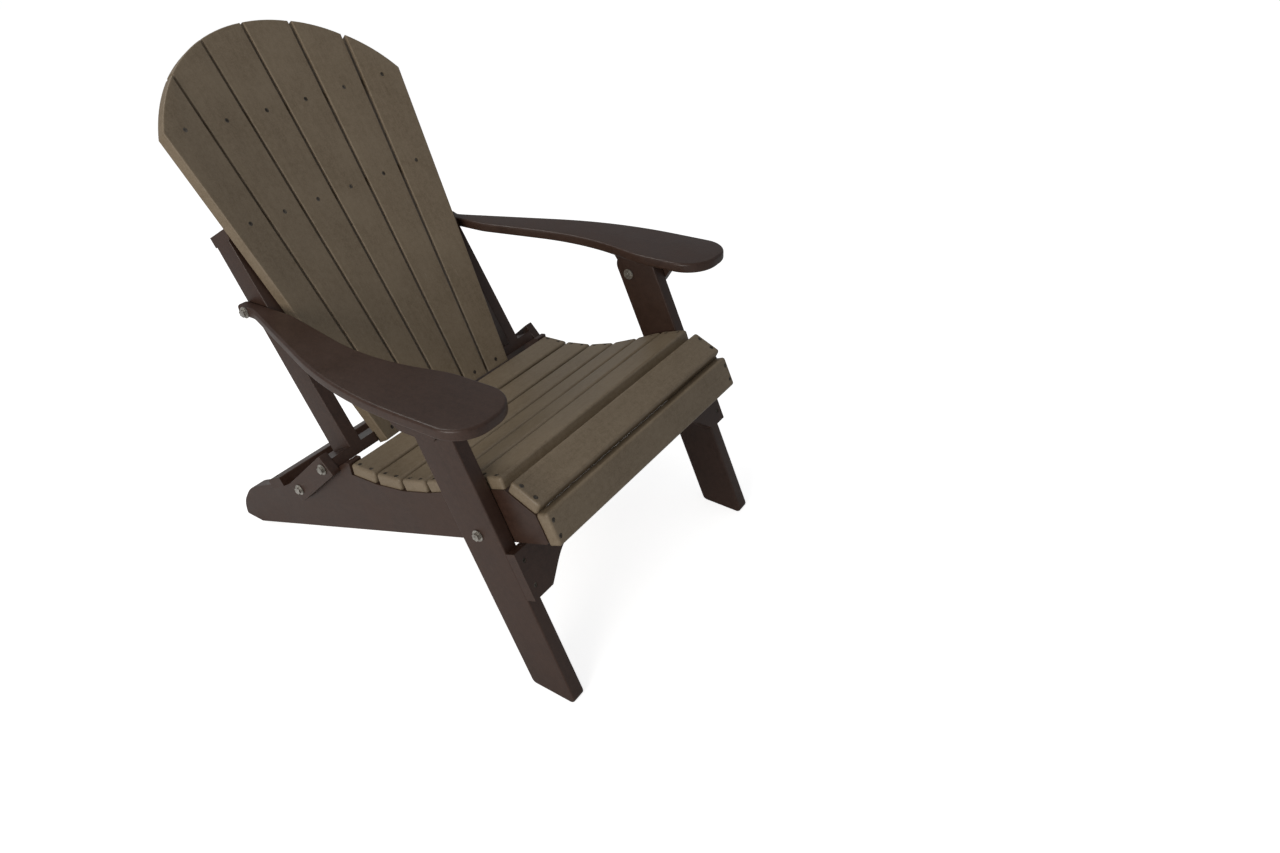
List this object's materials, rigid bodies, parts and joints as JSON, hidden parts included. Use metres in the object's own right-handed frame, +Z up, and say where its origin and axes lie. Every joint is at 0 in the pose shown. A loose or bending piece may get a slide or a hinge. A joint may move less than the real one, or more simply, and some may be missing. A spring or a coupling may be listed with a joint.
{
  "type": "folding adirondack chair",
  "caption": "Folding fan-back adirondack chair in plastic lumber, with a contoured slat seat, wide arms, pivoting front legs and swinging rear links.",
  "frame": {"origin": "middle of the footprint, on the floor", "axes": "+Z up, +Y to the rear of the chair, -Y the way the sitter faces, +X the sitter's left"},
  "size_m": [0.7982, 0.9748, 0.9634],
  "materials": {
    "frame_lumber": "satin, lightly brushed",
    "slat_lumber": "satin, lightly brushed",
    "steel": "satin"
  },
  "bodies": {
    "seat_frame": {"left_rail": "frame_lumber", "leg_pivot_bolts": "steel", "leg_pivot_nuts": "steel", "leg_pivot_washers": "steel", "link_pivot_bolts": "steel", "link_pivot_nuts": "steel", "link_pivot_washers": "steel", "rear_stretcher": "frame_lumber", "right_rail": "frame_lumber", "seat_screws": "steel", "seat_slat_1": "slat_lumber", "seat_slat_2": "slat_lumber", "seat_slat_3": "slat_lumber", "seat_slat_4": "slat_lumber", "seat_slat_5": "slat_lumber", "seat_slat_6": "slat_lumber", "seat_slat_7": "slat_lumber", "seat_slat_8": "slat_lumber", "stretcher_screws": "steel"},
    "front_legs": {"left_front_leg": "frame_lumber", "right_front_leg": "frame_lumber", "front_apron": "frame_lumber", "apron_screws": "steel"},
    "arms": {"left_arm": "frame_lumber", "right_arm": "frame_lumber", "left_arm_cleat": "frame_lumber", "right_arm_cleat": "frame_lumber", "cleat_screws": "steel", "arm_pivot_bolts": "steel", "arm_pivot_nuts": "steel", "arm_pivot_washers": "steel", "arm_rear_bolts": "steel", "arm_rear_washers": "steel"},
    "rear_links": {"left_rear_link": "frame_lumber", "right_rear_link": "frame_lumber"},
    "back": {"back_pivot_bolts": "steel", "back_pivot_washers": "steel", "back_slat_1": "slat_lumber", "back_slat_2": "slat_lumber", "back_slat_3": "slat_lumber", "back_slat_4": "slat_lumber", "back_slat_5": "slat_lumber", "back_slat_6": "slat_lumber", "back_slat_screws": "steel", "left_upright": "frame_lumber", "lower_back_bar": "frame_lumber", "right_upright": "frame_lumber", "top_back_brace": "frame_lumber", "upper_back_brace": "frame_lumber", "upright_screws": "steel"}
  },
  "joints": [
    {"name": "leg_fold", "type": "hinge", "parent": "seat_frame", "child": "front_legs", "pos_m": [0, -0.30704, 0.3055], "axis": [1, 0, 0], "range_deg": [0, 92]},
    {"name": "arm_fold", "type": "hinge", "parent": "front_legs", "child": "arms", "pos_m": [0, -0.19784, 0.504], "axis": [1, 0, 0], "range_deg": [-90.2, 0]},
    {"name": "link_swing", "type": "hinge", "parent": "seat_frame", "child": "rear_links", "pos_m": [0, 0.17636, 0.1893], "axis": [1, 0, 0], "range_deg": [-68, 0]},
    {"name": "back_fold", "type": "hinge", "parent": "rear_links", "child": "back", "pos_m": [0, 0.08711, 0.27547], "axis": [1, 0, 0], "range_deg": [0, 164]}
  ],
  "couplings": [
    {"joint": "arm_fold", "follows": "leg_fold", "ratio": -0.98042},
    {"joint": "link_swing", "follows": "leg_fold", "ratio": -0.73912},
    {"joint": "back_fold", "follows": "leg_fold", "ratio": 1.7826}
  ]
}
